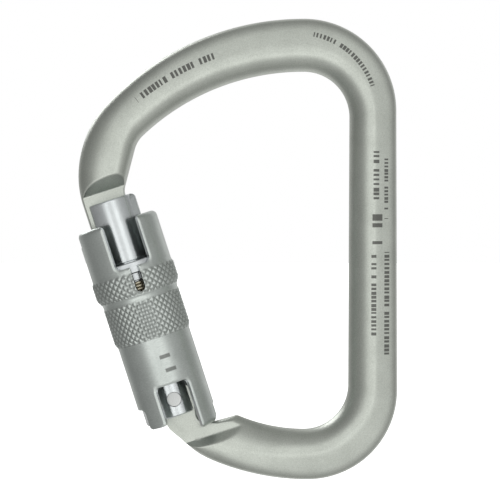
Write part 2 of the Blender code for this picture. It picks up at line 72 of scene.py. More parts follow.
WORLD = Matrix.Identity(4)
GATE_FRAME = frame_at(RIVET)
AXIS_FRAME = frame_at(SLEEVE_POINT)
SLEEVE_FRAME = frame_at(SLEEVE_POINT, REST_TURN)
FULL_TURN = 2.0 * math.pi

# ---- Mesh helpers ----


def new_object(name, data):
    """An object in the scene with the mesh, lamp or camera it is given."""
    obj = bpy.data.objects.new(name, data)
    bpy.context.scene.collection.objects.link(obj)
    return obj


def smooth(mesh, sharp_angle):
    """Shades the mesh smooth except where faces meet at more than an angle in degrees."""
    mesh.shade_smooth()
    mesh.set_sharp_from_angle(angle=math.radians(sharp_angle))


def add_object(name, mesh, place, sharp_angle=32.0):
    """A mesh in metres as an object in the frame that place gives."""
    smooth(mesh, sharp_angle)
    obj = new_object(name, mesh)
    obj.matrix_world = place
    return obj


def mesh_from_lists(name, points, faces):
    """A closed mesh from points in millimetres, its normals outwards."""
    mesh = bpy.data.meshes.new(name)
    mesh.from_pydata((np.asarray(points, float) * MM).tolist(), [], faces)
    bm = bmesh.new()
    bm.from_mesh(mesh)
    bmesh.ops.remove_doubles(bm, verts=bm.verts, dist=1e-7)
    bmesh.ops.recalc_face_normals(bm, faces=bm.faces)
    bm.to_mesh(mesh)
    bm.free()
    return mesh


def grid_faces(rows, columns, wrap_rows=False):
    """The quads of a grid whose columns wrap round; its rows wrap too where it is a ring."""
    faces = []
    for row in range(rows if wrap_rows else rows - 1):
        here = row * columns
        above = (row + 1) % rows * columns
        for column in range(columns):
            after = (column + 1) % columns
            faces.append((here + column, here + after, above + after, above + column))
    return faces


def loft_mesh(name, rings):
    """A skin through rings of equal length, closed by a flat cap at each end."""
    rings = np.asarray(rings, float)
    rows, columns, _ = rings.shape
    faces = grid_faces(rows, columns)
    faces.append(tuple(reversed(range(columns))))
    faces.append(tuple(range((rows - 1) * columns, rows * columns)))
    return mesh_from_lists(name, rings.reshape(-1, 3), faces)


def turned_mesh(name, profile, columns, relief=None):
    """A (radius, along) profile turned about Z. A profile that touches the axis is a solid, any
    other is a ring that closes on itself. relief(angle, along, radius) moves the radius."""
    solid = profile[0][0] == 0.0
    inner = profile[1:-1] if solid else profile
    radii, heights = (np.repeat([[value] for value in part], columns, 1) for part in zip(*inner))
    angles = np.linspace(0.0, FULL_TURN, columns, endpoint=False)[None, :]
    if relief is not None:
        radii = radii + relief(angles, heights, radii)
    points = np.stack([radii * np.cos(angles), radii * np.sin(angles), heights], -1).reshape(-1, 3)
    faces = grid_faces(len(inner), columns, wrap_rows=not solid)
    if solid:
        faces.append(tuple(range(columns)))
        last = (len(inner) - 1) * columns
        faces.append(tuple(reversed(range(last, last + columns))))
    return mesh_from_lists(name, points, faces)


def prism_mesh(name, outline, low, high, direction):
    """A flat outline pushed from low to high along X or Y of its own frame."""
    place = {"X": lambda a, b, t: (t, a, b), "Y": lambda a, b, t: (a, t, b)}[direction]
    rings = [[place(a, b, t) for a, b in outline] for t in (low, high)]
    return loft_mesh(name, rings)


def arc_points(centre, radius, start, end, steps):
    """Points on an arc from one angle to another, in degrees."""
    turn = np.radians(np.linspace(start, end, steps + 1))
    return [(centre[0] + radius * math.cos(t), centre[1] + radius * math.sin(t)) for t in turn]


def circle_prism(centre, radius, sides, low, high, direction):
    """A round cutter along X or Y of its own frame."""
    outline = arc_points(centre, radius, 0.0, 360.0, sides)[:-1]
    return prism_mesh("round", outline, low, high, direction)


def box_outline(low_a, high_a, low_b, high_b):
    """A rectangle's corners."""
    return [(low_a, low_b), (high_a, low_b), (high_a, high_b), (low_a, high_b)]


def combine(obj, steps, sharp_angle):
    """Cuts or joins meshes into obj one after the other, and keeps only the result."""
    helpers = []
    for operation, mesh in steps:
        helper = new_object("helper", mesh)
        helper.matrix_world = obj.matrix_world
        modifier = obj.modifiers.new("combine", "BOOLEAN")
        modifier.operation = operation
        modifier.solver = "EXACT"
        modifier.object = helper
        helpers.append(helper)
    bpy.context.view_layer.update()
    graph = bpy.context.evaluated_depsgraph_get()
    result = bpy.data.meshes.new_from_object(obj.evaluated_get(graph))
    obj.modifiers.clear()
    obj.data = result
    smooth(result, sharp_angle)
    for helper in helpers:
        bpy.data.objects.remove(helper)


def soft_min(a, b, reach):
    """The lesser of a and b, with the corner between them rounded over reach."""
    mix = np.maximum(reach - np.abs(a - b), 0.0) / reach
    return np.minimum(a, b) - mix * mix * reach / 4.0


def place_piece(obj, body, replaced, material):
    """Sets the piece's mesh in world coordinates, and gives the piece its body, the CAD
    nodes it stands for and its material."""
    obj.data.transform(obj.matrix_world)
    obj.matrix_world = WORLD
    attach(obj, body)
    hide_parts(*replaced)
    obj.data.materials.clear()
    obj.data.materials.append(material)


# ---- Materials ----


UNSTRETCHED = (1.0, 1.0, 1.0)


class Nodes:
    """Adds nodes to a material or a world and links them."""

    def __init__(self, owner):
        owner.use_nodes = True
        self.tree = owner.node_tree
        self.shader = self.tree.nodes.get("Principled BSDF")

    def add(self, kind, inputs=None, **settings):
        """A new node, with sockets linked and values set by input name or number."""
        node = self.tree.nodes.new(kind)
        for name, value in settings.items():
            setattr(node, name, value)
        for name, value in (inputs or {}).items():
            if isinstance(value, bpy.types.NodeSocket):
                self.tree.links.new(value, node.inputs[name])
            else:
                node.inputs[name].default_value = value
        return node

    def math(self, operation, a, b=0.0):
        node = self.add("ShaderNodeMath", {0: a, 1: b}, operation=operation)
        return node.outputs[0]

    def product(self, first, *others):
        """All the factors multiplied, from first to last."""
        for other in others:
            first = self.math("MULTIPLY", first, other)
        return first

    def axes(self, vector):
        """The X, Y and Z of a vector."""
        outputs = self.add("ShaderNodeSeparateXYZ", {"Vector": vector}).outputs
        return outputs["X"], outputs["Y"], outputs["Z"]

    def between(self, value, low, high, edge):
        """1 where value lies between low and high, with edges softened over a length."""
        rise = self.ramp(value, low - edge, low + edge, 0.0, 1.0)
        fall = self.ramp(value, high - edge, high + edge, 1.0, 0.0)
        return self.product(rise, fall)

    def ramp(self, value, from_low, from_high, to_low, to_high, **settings):
        inputs = {"Value": value, "From Min": from_low, "From Max": from_high}
        inputs.update({"To Min": to_low, "To Max": to_high})
        return self.add("ShaderNodeMapRange", inputs, **settings).outputs["Result"]

    def coordinates(self, place, scale=UNSTRETCHED):
        """Coordinates in millimetres in the frame that place gives, stretched by scale."""
        source = self.add("ShaderNodeTexCoord").outputs["Object"]
        inputs = {"Vector": source, "Location": place.to_translation()}
        inputs["Rotation"] = place.to_euler()
        inputs["Scale"] = [MM / value for value in scale]
        return self.add("ShaderNodeMapping", inputs, vector_type="TEXTURE").outputs["Vector"]

    def noise(self, vector, size, detail, roughness):
        """Noise whose features are about size millimetres across."""
        inputs = {"Vector": vector, "Scale": 1.0 / size, "Detail": detail, "Roughness": roughness}
        return self.add("ShaderNodeTexNoise", inputs).outputs[0]

    def mix(self, factor, a, b):
        inputs = {0: factor, 6: a, 7: b}
        return self.add("ShaderNodeMix", inputs, data_type="RGBA").outputs[2]

    def bump(self, height, distance, strength):
        """distance is the height of the relief in millimetres."""
        inputs = {"Height": height, "Distance": distance * MM, "Strength": strength}
        return self.add("ShaderNodeBump", inputs).outputs["Normal"]

    def set(self, **values):
        for name, value in values.items():
            socket = self.shader.inputs[name.replace("_", " ")]
            if isinstance(value, bpy.types.NodeSocket):
                self.tree.links.new(value, socket)
            else:
                socket.default_value = value


CLOUD_SIZE = 7.0                        # the broad clouds of tone on every metal
SPECKLE_SHARE, CLOUD_SHARE = 0.7, 0.3   # how much of the tone comes from each
ROUGHNESS_SPREAD = 0.05                 # how far the roughness varies with the tone
MARK_TONE = (0.10, 0.10, 0.095, 1.0)
MARK_ROUGHNESS = 0.15                   # the marks are this much rougher
# the dark colour that the knurl's grooves are painted towards: painted shade
GROOVE_SHADE_TONE = (0.13, 0.135, 0.125, 1.0)


def metal(
    name, dark, light, rough, grain, place=WORLD, stretch=UNSTRETCHED, marks=None, groove_shade=None
):
    """A plated metal: two close tones in fine speckle and faint broad clouds, with grain as relief.

    grain is the speckle's size and height. stretch squeezes it along the axes of the frame that
    place gives, so that turned pieces show tool lines. marks(nodes) is a mask of printed marks,
    and the last argument is a mask of hollows whose colour is darkened as painted shade.
    """
    grain_size, grain_height = grain
    material = bpy.data.materials.new(name)
    nodes = Nodes(material)
    plain = nodes.coordinates(place)
    drawn = nodes.coordinates(place, stretch)
    speckle = nodes.noise(drawn, grain_size, 3.0, 0.65)
    clouds = nodes.noise(plain, CLOUD_SIZE, 3.0, 0.55)
    fine = nodes.product(speckle, SPECKLE_SHARE)
    broad = nodes.product(clouds, CLOUD_SHARE)
    tone = nodes.math("ADD", fine, broad)
    share = nodes.ramp(tone, 0.36, 0.64, 0.0, 1.0)
    colour = nodes.mix(share, (*dark, 1.0), (*light, 1.0))
    roughness = nodes.ramp(tone, 0.3, 0.7, rough + ROUGHNESS_SPREAD, rough - ROUGHNESS_SPREAD)
    if marks is not None:
        mask = marks(nodes)
        colour = nodes.mix(mask, colour, MARK_TONE)
        roughness = nodes.math("ADD", roughness, nodes.product(mask, MARK_ROUGHNESS))
    # painted shade: the colour is darkened where the hollows are
    if groove_shade is not None:
        colour = nodes.mix(groove_shade(nodes), colour, GROOVE_SHADE_TONE)
    nodes.set(Base_Color=colour, Roughness=roughness, Metallic=1.0)
    nodes.set(Normal=nodes.bump(speckle, grain_height, 0.5))
    return material


SHORTEST_DASH, LONGEST_DASH = 0.35, 0.85    # a dash's length as a share of the row's pitch
GAP_CHANCE = 0.14                           # the share of dashes left out
MARK_EDGE = 0.05                            # how soft a printed edge is
BAR_MARK_STRENGTH, SLEEVE_MARK_STRENGTH = 0.85, 0.7


def dash_row(nodes, length_along, height_across, start, end, size, pitch, seed):
    """A row of short printed dashes of uneven length, between two places along a line."""
    cell = nodes.math("FLOOR", nodes.math("DIVIDE", length_along, pitch))
    part = nodes.math("FRACT", nodes.math("DIVIDE", length_along, pitch))
    inputs = {"W": nodes.math("ADD", cell, seed)}
    chance = nodes.add("ShaderNodeTexWhiteNoise", inputs, noise_dimensions="1D").outputs["Value"]
    share = nodes.ramp(chance, 0.0, 1.0, SHORTEST_DASH, LONGEST_DASH)
    inside = nodes.math("LESS_THAN", part, share)
    kept = nodes.math("GREATER_THAN", chance, GAP_CHANCE)
    row = nodes.between(height_across, -size / 2.0, size / 2.0, MARK_EDGE)
    span = nodes.between(length_along, start, end, MARK_EDGE)
    return nodes.product(nodes.product(inside, kept), nodes.product(row, span))


def bar_marks(nodes):
    """Generic dashes where the bar carries printed lines: two bends and the spine's outer half."""
    x, y, z = nodes.axes(nodes.coordinates(WORLD))
    masks = []
    for near, start, end, size, pitch in SPINE_ROWS:
        across = nodes.math("SUBTRACT", x, near)
        down = nodes.product(z, -1.0)
        masks.append(dash_row(nodes, down, across, start, end, size, pitch, near))
    for centre_x, centre_z, radius, start, end, size, pitch in BEND_ROWS:
        dx = nodes.math("SUBTRACT", x, centre_x)
        dz = nodes.math("SUBTRACT", z, centre_z)
        square = nodes.math("ADD", nodes.product(dx, dx), nodes.product(dz, dz))
        reach = nodes.math("SUBTRACT", nodes.math("SQRT", square), radius)
        angle = nodes.math("ARCTAN2", dx, dz)
        arc_length = nodes.product(angle, radius)
        masks.append(dash_row(nodes, arc_length, reach, start, end, size, pitch, radius))
    total = masks[0]
    for mask in masks[1:]:
        total = nodes.math("MAXIMUM", total, mask)
    front = nodes.math("LESS_THAN", y, 0.0)
    return nodes.product(total, front, BAR_MARK_STRENGTH)


def sleeve_marks(nodes):
    """Two generic dashes on the sleeve's plain lower front."""
    x, y, z = nodes.axes(nodes.coordinates(SLEEVE_FRAME))
    masks = []
    for low, high, left, right in SLEEVE_DASHES:
        row = nodes.between(z, low, high, SLEEVE_MARK_EDGE)
        span = nodes.between(x, left, right, SLEEVE_MARK_EDGE)
        masks.append(nodes.product(row, span))
    total = nodes.math("MAXIMUM", masks[0], masks[1])
    front = nodes.math("LESS_THAN", y, 0.0)
    return nodes.product(total, front, SLEEVE_MARK_STRENGTH)


def knurl_groove_shade(nodes):
    """The knurl's crossed grooves as a mask of painted shade, which darkens them below the tops of
    its diamonds.
    """
    x, y, z = nodes.axes(nodes.coordinates(SLEEVE_FRAME))
    around = nodes.product(nodes.math("ARCTAN2", y, x), KNURL_AROUND / FULL_TURN)
    rise = nodes.math("DIVIDE", z, KNURL_RISE)
    grooves = []
    for operation in ("ADD", "SUBTRACT"):
        wave = nodes.math("PINGPONG", nodes.math(operation, around, rise), 0.5)
        grooves.append(nodes.ramp(wave, PIT_FLOOR, PIT_EDGE, 1.0, 0.0))
    return nodes.product(nodes.math("MAXIMUM", *grooves), GROOVE_SHADE_STRENGTH)


# Spine rows: centre X, start and end measured down from the origin, dash height, dash pitch.
SPINE_ROWS = (
    (20.6, 20.6, 33.5, 1.5, 1.2),
    (23.2, 22.0, 38.0, 1.0, 0.9),
    (20.9, 36.5, 44.5, 2.6, 2.3),
    (20.0, 46.5, 68.0, 1.3, 1.05),
    (23.4, 46.5, 73.0, 1.3, 1.05),
)
# Bend rows: arc centre X and Z, radius, start and end of the arc length from straight up, then the
# dash height and pitch.
BEND_ROWS = (
    (2.0, -60.0, 67.8, -46.5, -23.6, 1.7, 1.15),
    (0.5, -10.5, 20.2, 4.0, 25.0, 1.2, 0.95),
)
# Sleeve dashes: low and high along the sleeve, left and right across it.
SLEEVE_DASHES = ((11.2, 12.2, -0.9, 1.9), (7.6, 8.6, -0.4, 2.4))
SLEEVE_MARK_EDGE = 0.08
KNURL_AROUND = 39           # diamonds round the sleeve
KNURL_RISE = 1.9            # height of one diamond
PIT_FLOOR, PIT_EDGE, GROOVE_SHADE_STRENGTH = 0.02, 0.26, 0.42    # where a groove's painted shade is full and ends, and how strong it is

# Each metal: its dark and light tones, its roughness, its grain's size and height, its frame and
# how the grain is stretched there.
TURNED = (0.5, 0.5, 1.6)
BRUSHED = (0.35, 0.35, 1.6)
FINE_GRAIN = (0.2, 0.02)
SHELL_TONES = ((0.49, 0.528, 0.507), (0.628, 0.669, 0.648))
SHELL_ROUGHNESS = 0.34
FORGED = metal(
    "blasted_plate", (0.475, 0.502, 0.46), (0.607, 0.638, 0.59), 0.38, (0.28, 0.05), marks=bar_marks
)
ZINC = metal(
    "bright_zinc_plate", (0.59, 0.625, 0.635), (0.75, 0.785, 0.80), 0.23, (0.16, 0.02),
    AXIS_FRAME, TURNED,
)
SLEEVE = metal(
    "satin_zinc", *SHELL_TONES, SHELL_ROUGHNESS, (0.22, 0.03), SLEEVE_FRAME, BRUSHED, sleeve_marks
)
# the knurl's grooves are darkened in colour as painted shade
KNURL = metal(
    "knurled_zinc", *SHELL_TONES, SHELL_ROUGHNESS, (0.2, 0.03), SLEEVE_FRAME, groove_shade=knurl_groove_shade
)
# the openings' milled walls get this metal, lighter than the sleeve's, as a painted highlight
CUT_WALL_HIGHLIGHT = metal(
    "milled_wall_highlight", (0.70, 0.72, 0.72), (0.82, 0.84, 0.84), 0.3, FINE_GRAIN, SLEEVE_FRAME
)
RIVET_METAL = metal("ground_rivet", (0.50, 0.515, 0.51), (0.62, 0.635, 0.63), 0.38, FINE_GRAIN)
SATIN = metal(
    "satin_turned", (0.56, 0.59, 0.60), (0.70, 0.73, 0.75), 0.30, FINE_GRAIN, AXIS_FRAME, TURNED
)
WIRE = metal("drawn_wire", (0.42, 0.39, 0.30), (0.58, 0.54, 0.42), 0.3, (0.3, 0.01))

# ---- The forged bar ----

BAR_HALF_DEPTH = 6.0
TONGUE_HALF_DEPTH = 2.5
TONGUE_RELIEF = 0.005       # the hinge tongue lies this much under the milled flats, out of sight
NOSE_TIP, NOSE_SHOULDER = 46.2, 56.6        # along the gate: the nose's end and its facet's foot
NOSE_OUTER, NOSE_INNER = -7.2, 4.05         # across the gate: the nose's two sides
SHELF, FOOT_FLAT = -9.05, -12.0             # along the gate: the shelf and its facet's top
SHELF_FILLET = 3.0
CAM_CENTRE, CAM_RADIUS = (1.0, 0.0), 3.8
FOOT_THIN = 0.79            # the round bar's depth along the shelf, as a share of its full depth
MILL_SOFTNESS = 0.3         # how far the milled faces' corners are rounded
NOSE_STATIONS = 124         # stations from the nose in which the nose's milling applies
FOOT_STATIONS = 170         # and stations before the foot's end in which its milling applies
FOOT_TAPER = 95.0           # the first of those, over which the bar thins
INNER_COLUMNS, OUTER_COLUMNS = 24, 46       # points round half a section, each side of its ridge
HOLE_RADIUS, HOLE_SIDES = 1.93, 48          # the rivet's holes in the tongue and the gate
THROUGH = 14.0              # half the length of a cutter that goes right through the gate or sleeve


def line(length):
    """A straight stretch of an outline."""
    return ("line", length, 0.0)


def arc(radius, turn):
    """A clockwise arc of an outline, its turn in degrees; anticlockwise where both are negative."""
    return ("arc", radius, turn)


# The bar's outlines from the nose, round the crown and spine, to the foot: the number of stations,
# the outer stretches, the inner stretches, then the section at the zone's end: the ridge's place,
# the outer slope, and how full the inner and the outer side are.
BAR_ZONES = (
    (44, (line(8.62),), (line(8.02),), (0.34, 0.5, 3.0, 3.0)),
    (
        80,
        (arc(24.71, 18.92), arc(27.66, 26.6)),
        (arc(3.67, 32.65), line(9.94), arc(7.52, 15.0)),
        (0.37, 1.0, 2.6, 3.2),
    ),
    (12, (arc(27.66, 16.02),), (arc(7.52, 16.78),), (0.41, 1.4, 2.3, 4.0)),
    (26, (arc(70.06, 23.3),), (arc(60.44, 21.87),), (0.39, 2.0, 2.0, 8.0)),
    (26, (arc(70.06, 23.3),), (arc(60.44, 21.87),), (0.38, 2.1, 2.0, 10.0)),
    (26, (arc(23.89, 44.72),), (arc(11.84, 44.955),), (0.40, 2.2, 2.0, 11.0)),
    (26, (arc(23.89, 44.72),), (arc(11.84, 44.955),), (0.48, 2.2, 2.0, 12.0)),
    (30, (line(72.52),), (line(69.37),), (0.50, 2.2, 2.0, 12.0)),
    (26, (arc(23.23, 45.0),), (arc(11.67, 45.405),), (0.41, 2.2, 2.0, 12.0)),
    (26, (arc(23.23, 45.0),), (arc(11.67, 45.405),), (0.43, 2.1, 2.0, 11.0)),
    (90, (arc(64.06, 22.79),), (arc(44.69, 21.78),), (0.58, 1.0, 1.6, 4.0)),
    (
        80,
        (arc(23.93, 10.27), arc(13.74, 9.84), line(2.96)),
        (arc(-1.81, -39.56), line(14.8)),
        (0.62, 0.5, 4.0, 3.0),
    ),
)
EASE = 0.01                 # how softly the outer slope begins at the ridge


def walk_outline(start, heading, zones):
    """Points along straight and curved stretches, evenly spaced in each zone."""
    x, z = start
    points = [start]
    for steps, stretches in zones:
        lengths = [
            size if kind == "line" else size * math.radians(turn) for kind, size, turn in stretches
        ]
        total = sum(lengths)
        for step in range(1, steps + 1):
            left = total * step / steps
            px, pz, angle = x, z, heading
            for (kind, size, _), length in zip(stretches, lengths):
                run = min(left, length)
                left -= run
                if kind == "line":
                    px += run * math.cos(angle)
                    pz += run * math.sin(angle)
                else:
                    after = angle - run / size
                    px += size * (math.sin(angle) - math.sin(after))
                    pz += size * (math.cos(after) - math.cos(angle))
                    angle = after
            points.append((px, pz))
        x, z, heading = px, pz, angle
    return np.array(points)


def bar_section(ridge, slope, inner_fullness, outer_fullness):
    """Half of the bar's section as (share from the inner side, depth share) from inner to outer.

    The inner side is a quarter round up to the ridge, squarer where inner_fullness is above 2.
    The outer side falls gently as a flat for the markings, slope millimetres in all, and then
    rounds over."""
    turn = np.linspace(0.0, math.pi / 2.0, INNER_COLUMNS)
    power = 2.0 / inner_fullness
    inner_x = ridge * (1.0 - np.clip(np.cos(turn), 0.0, 1.0) ** power)
    inner_y = np.sin(turn) ** power
    s = np.sin(np.linspace(0.0, math.pi / 2.0, OUTER_COLUMNS)[1:])
    eased = np.sqrt(s * s + EASE) - math.sqrt(EASE)
    edge = np.sqrt(np.clip(1.0 - s**outer_fullness, 0.0, 1.0))
    outer_x = ridge + (1.0 - ridge) * s
    outer_y = (1.0 - slope / BAR_HALF_DEPTH * eased) * edge
    return np.concatenate([inner_x, outer_x]), np.concatenate([inner_y, outer_y])


def gate_point(across, along):
    """The X and Z in millimetres of a point given in the gate's frame."""
    point = GATE_FRAME @ Vector((across * MM, 0.0, along * MM))
    return point.x / MM, point.z / MM


def section_values():
    """The section's values at each station, changing evenly from one zone's end to the next."""
    ends = np.cumsum([0] + [zone[0] for zone in BAR_ZONES])
    values = np.array([BAR_ZONES[0][3]] + [zone[3] for zone in BAR_ZONES])
    stations = np.arange(ends[-1] + 1)
    return [np.interp(stations, ends, column) for column in values.T]


def bar_mesh():
    """The bar as a skin through sections that run from the outer to the inner outline."""
    heading = math.pi / 2.0 + LEAN
    outer_zones = [(zone[0], zone[1]) for zone in BAR_ZONES]
    inner_zones = [(zone[0], zone[2]) for zone in BAR_ZONES]
    outer = walk_outline(gate_point(NOSE_OUTER, NOSE_TIP), heading, outer_zones)
    inner = walk_outline(gate_point(NOSE_INNER, NOSE_TIP), heading, inner_zones)
    rings = []
    for out, into, *section in zip(outer, inner, *section_values()):
        share, depth = bar_section(*section)
        plane = into + (out - into) * share[:, None]
        front = np.stack([plane[:, 0], -depth * BAR_HALF_DEPTH, plane[:, 1]], -1)
        back = front[-2:0:-1] * (1.0, -1.0, 1.0)
        rings.append(np.concatenate([front, back]))
    rings = np.array(rings)
    mill_tongues(rings)
    return loft_mesh("bar", rings)


def mill_tongues(rings):
    """Thins both ends of the bar to a tongue, with 45 degree facets up to the round bar."""
    shift_x = rings[..., 0] - RIVET.x / MM
    shift_z = rings[..., 2] - RIVET.z / MM
    along = shift_x * ALONG.x + shift_z * ALONG.z
    depth = np.abs(rings[..., 1])
    taper = np.clip(np.arange(FOOT_STATIONS) / FOOT_TAPER, 0.0, 1.0)
    taper = 1.0 - (1.0 - FOOT_THIN) * taper * taper * (3.0 - 2.0 * taper)
    depth[-FOOT_STATIONS:] *= taper[:, None]
    side = np.where(depth > 1e-6, np.sign(rings[..., 1]), 0.0)
    nose = TONGUE_HALF_DEPTH + np.maximum(along - NOSE_SHOULDER, 0.0)
    foot = TONGUE_HALF_DEPTH + np.maximum(FOOT_FLAT - along, 0.0)
    for part, mill in ((slice(NOSE_STATIONS), nose), (slice(-FOOT_STATIONS, None), foot)):
        depth[part] = soft_min(depth[part], mill[part], MILL_SOFTNESS)
    rings[..., 1] = side * np.maximum(depth, 0.0)


def hinge_tongue_outline():
    """The hinge tongue in (across, along): a cam on a post that flares into the shelf."""
    outline = arc_points(CAM_CENTRE, CAM_RADIUS, -20.0, 160.0, 40)
    outline += [(-4.0, -1.2), (-4.1, -5.6), (-3.6, -7.35), (-2.85, -8.6), (-2.05, -9.85)]
    outline += [(-1.1, -11.18), (0.6, -11.3), (4.0, -10.9), (10.6, SHELF - 1.3)]
    outline += arc_points((6.8, SHELF + SHELF_FILLET), SHELF_FILLET, 270.0, 180.0, 14)
    return outline


def build_bar():
    """The forged bar, with the hinge's tongue joined on and the rivet's hole cut."""
    obj = add_object("forged_bar", bar_mesh(), WORLD)
    half = TONGUE_HALF_DEPTH - TONGUE_RELIEF
    tongue = prism_mesh("tongue", hinge_tongue_outline(), -half, half, "Y")
    hole = circle_prism((0.0, 0.0), HOLE_RADIUS, HOLE_SIDES, -5.0, 5.0, "Y")
    for mesh in (tongue, hole):
        mesh.transform(GATE_FRAME)
    combine(obj, [("UNION", tongue), ("DIFFERENCE", hole)], 38.0)
    place_piece(obj, "frame", ["frame"], FORGED)


# ---- The gate, its rivet and springs ----

GATE_TOP, GATE_BOTTOM, GATE_SHOULDER = 54.1, -4.4, 37.5
GATE_HEAD, GATE_STEM = 5.9, 5.0         # the radii above and below the shoulder
GATE_SIDES = 96
SLOT_HALF = 2.65                        # half the width of both slots
HINGE_SLOT_TOP = 5.0
AXIS_ACROSS = -0.4                      # the sleeve's axis, across from the rivet
CROSS_PIN_ALONG, CROSS_HOLE_RADIUS = 31.6, 0.95
GUIDE_PIN_ALONG, GUIDE_HOLE_RADIUS = 35.6, 1.05
PIN_HOLE_SIDES = 32
PLUNGER_BORE, PLUNGER_BORE_LOW, PLUNGER_BORE_HIGH = 1.6, 4.0, 18.0
PLUNGER_ACROSS = 1.6                    # from the sleeve's axis, not from the rivet
RIB_REACH, RIB_FOOT, RIB_CORNER, RIB_ROOT = 6.8, 39.0, 1.2, 2.6
# The rib's depth and inset from its full outline, from front to back: its faces slope away.
RIB_LEVELS = (
    (-2.6, 1.5), (-1.5, 0.35), (-1.3, 0.1), (-1.1, 0.0),
    (1.1, 0.0), (1.3, 0.1), (1.5, 0.35), (2.6, 1.5),
)


def rib_outline(inset):
    """The rib on the head's loop side, in (across, along) about the sleeve's axis."""
    far = RIB_REACH - inset
    top = GATE_TOP - 0.02 - 0.3 * inset
    foot = RIB_FOOT + inset
    outline = [(RIB_ROOT, foot), (far, foot)]
    outline += arc_points((far - RIB_CORNER, top - RIB_CORNER), RIB_CORNER, 0.0, 90.0, 8)
    outline.append((RIB_ROOT, top))
    return outline


def cross_pin_hole():
    """The cutter for the pin that holds the collar on the gate."""
    centre = (0.0, CROSS_PIN_ALONG)
    return circle_prism(centre, CROSS_HOLE_RADIUS, PIN_HOLE_SIDES, -THROUGH, THROUGH, "X")


def build_gate():
    """The gate's turned body with its rib, the nose and hinge slots, the bores and pin holes."""
    round_edge, broken_edge, chamfer = 0.5, 0.15, 0.3
    head = np.linspace(GATE_TOP - 1.0, GATE_SHOULDER + broken_edge, 12)
    stem = np.linspace(GATE_SHOULDER - 1.0, GATE_BOTTOM + chamfer, 16)
    profile = [(0.0, GATE_TOP)]
    profile += arc_points(
        (GATE_HEAD - round_edge, GATE_TOP - round_edge), round_edge, 90.0, 0.0, 5
    )
    profile += [(GATE_HEAD, along) for along in head]
    profile += [(GATE_HEAD - broken_edge, GATE_SHOULDER), (GATE_STEM, GATE_SHOULDER)]
    profile += [(GATE_STEM, along) for along in stem]
    profile += [(GATE_STEM - chamfer, GATE_BOTTOM), (0.0, GATE_BOTTOM)]
    obj = add_object("gate_body", turned_mesh("gate", profile, GATE_SIDES), AXIS_FRAME)
    rib = loft_mesh("rib", [
        [(across, depth, along) for across, along in rib_outline(inset)]
        for depth, inset in RIB_LEVELS
    ])
    nose_side = NOSE_INNER + 0.4 - AXIS_ACROSS
    outline = box_outline(-THROUGH, nose_side, NOSE_TIP - 0.9, GATE_TOP + 1.0)
    nose_slot = prism_mesh("nose_slot", outline, -SLOT_HALF, SLOT_HALF, "Y")
    outline = box_outline(-THROUGH, THROUGH, GATE_BOTTOM - 1.0, HINGE_SLOT_TOP)
    hinge_slot = prism_mesh("hinge_slot", outline, -SLOT_HALF, SLOT_HALF, "Y")
    centre = (-AXIS_ACROSS, 0.0)
    rivet_hole = circle_prism(centre, HOLE_RADIUS, HOLE_SIDES, -THROUGH, THROUGH, "Y")
    bore = [
        (0.0, PLUNGER_BORE_HIGH), (PLUNGER_BORE, PLUNGER_BORE_HIGH),
        (PLUNGER_BORE, PLUNGER_BORE_LOW), (0.0, PLUNGER_BORE_LOW),
    ]
    plunger_bore = turned_mesh("plunger_bore", bore, PIN_HOLE_SIDES)
    plunger_bore.transform(Matrix.Translation((PLUNGER_ACROSS * MM, 0.0, 0.0)))
    cuts = (nose_slot, hinge_slot, rivet_hole, plunger_bore, cross_pin_hole())
    combine(obj, [("UNION", rib)] + [("DIFFERENCE", mesh) for mesh in cuts], 30.0)
    place_piece(obj, "gate", ["gate"], ZINC)


def build_rivet():
    """A round rivet with a softly domed, flush-ground head on both sides."""
    reach, radius, dome, waist = 4.85, 1.88, 0.12, 2.0
    shares = np.array([0.35, 0.65, 0.85, 0.96])
    shoulder = reach - dome - 0.12
    profile = [(0.0, reach)]
    profile += [(radius * s, reach - dome * s**3) for s in shares]
    profile += [(radius, depth) for depth in (shoulder, waist, -waist, -shoulder)]
    profile += [(radius * s, -reach + dome * s**3) for s in shares[::-1]]
    profile.append((0.0, -reach))
    mesh = turned_mesh("rivet", profile, 64)
    mesh.transform(Matrix.Rotation(math.pi / 2.0, 4, "X"))
    obj = add_object("hinge_rivet_pin", mesh, GATE_FRAME)
    place_piece(obj, "gate", ["hinge_rivet"], RIVET_METAL)


def build_collar():
    """The collar on the gate's stem: a flange for the sleeve's bore and a seat for its spring."""
    edge, chamfer = 0.3, 0.15
    outer, seat, spigot, bore = 9.2, 7.9, 6.5, 5.15
    top, flange, step, bottom = 37.2, 34.2, 32.3, 30.0
    profile = arc_points((outer - edge, top - edge), edge, 90.0, 0.0, 4)
    profile += [(outer, along) for along in np.linspace(top - 1.0, flange + edge, 4)]
    profile += [(outer - edge, flange), (seat, flange)]
    profile += [(seat, step + chamfer), (seat - chamfer, step)]
    profile += [(spigot, step), (spigot, bottom), (bore, bottom), (bore, top)]
    obj = add_object("collar_ring", turned_mesh("collar", profile, 144), AXIS_FRAME)
    centre = (0.0, GUIDE_PIN_ALONG)
    guide_hole = circle_prism(centre, GUIDE_HOLE_RADIUS, PIN_HOLE_SIDES, 6.0, THROUGH, "X")
    combine(obj, [("DIFFERENCE", cross_pin_hole()), ("DIFFERENCE", guide_hole)], 30.0)
    place_piece(obj, "gate", ["spring_collar"], SATIN)


CLOSED_PITCH = 2.05         # the rise of a closed turn, in wire radii
COIL_SHARP = 60.0           # only a coil's cut ends are sharp


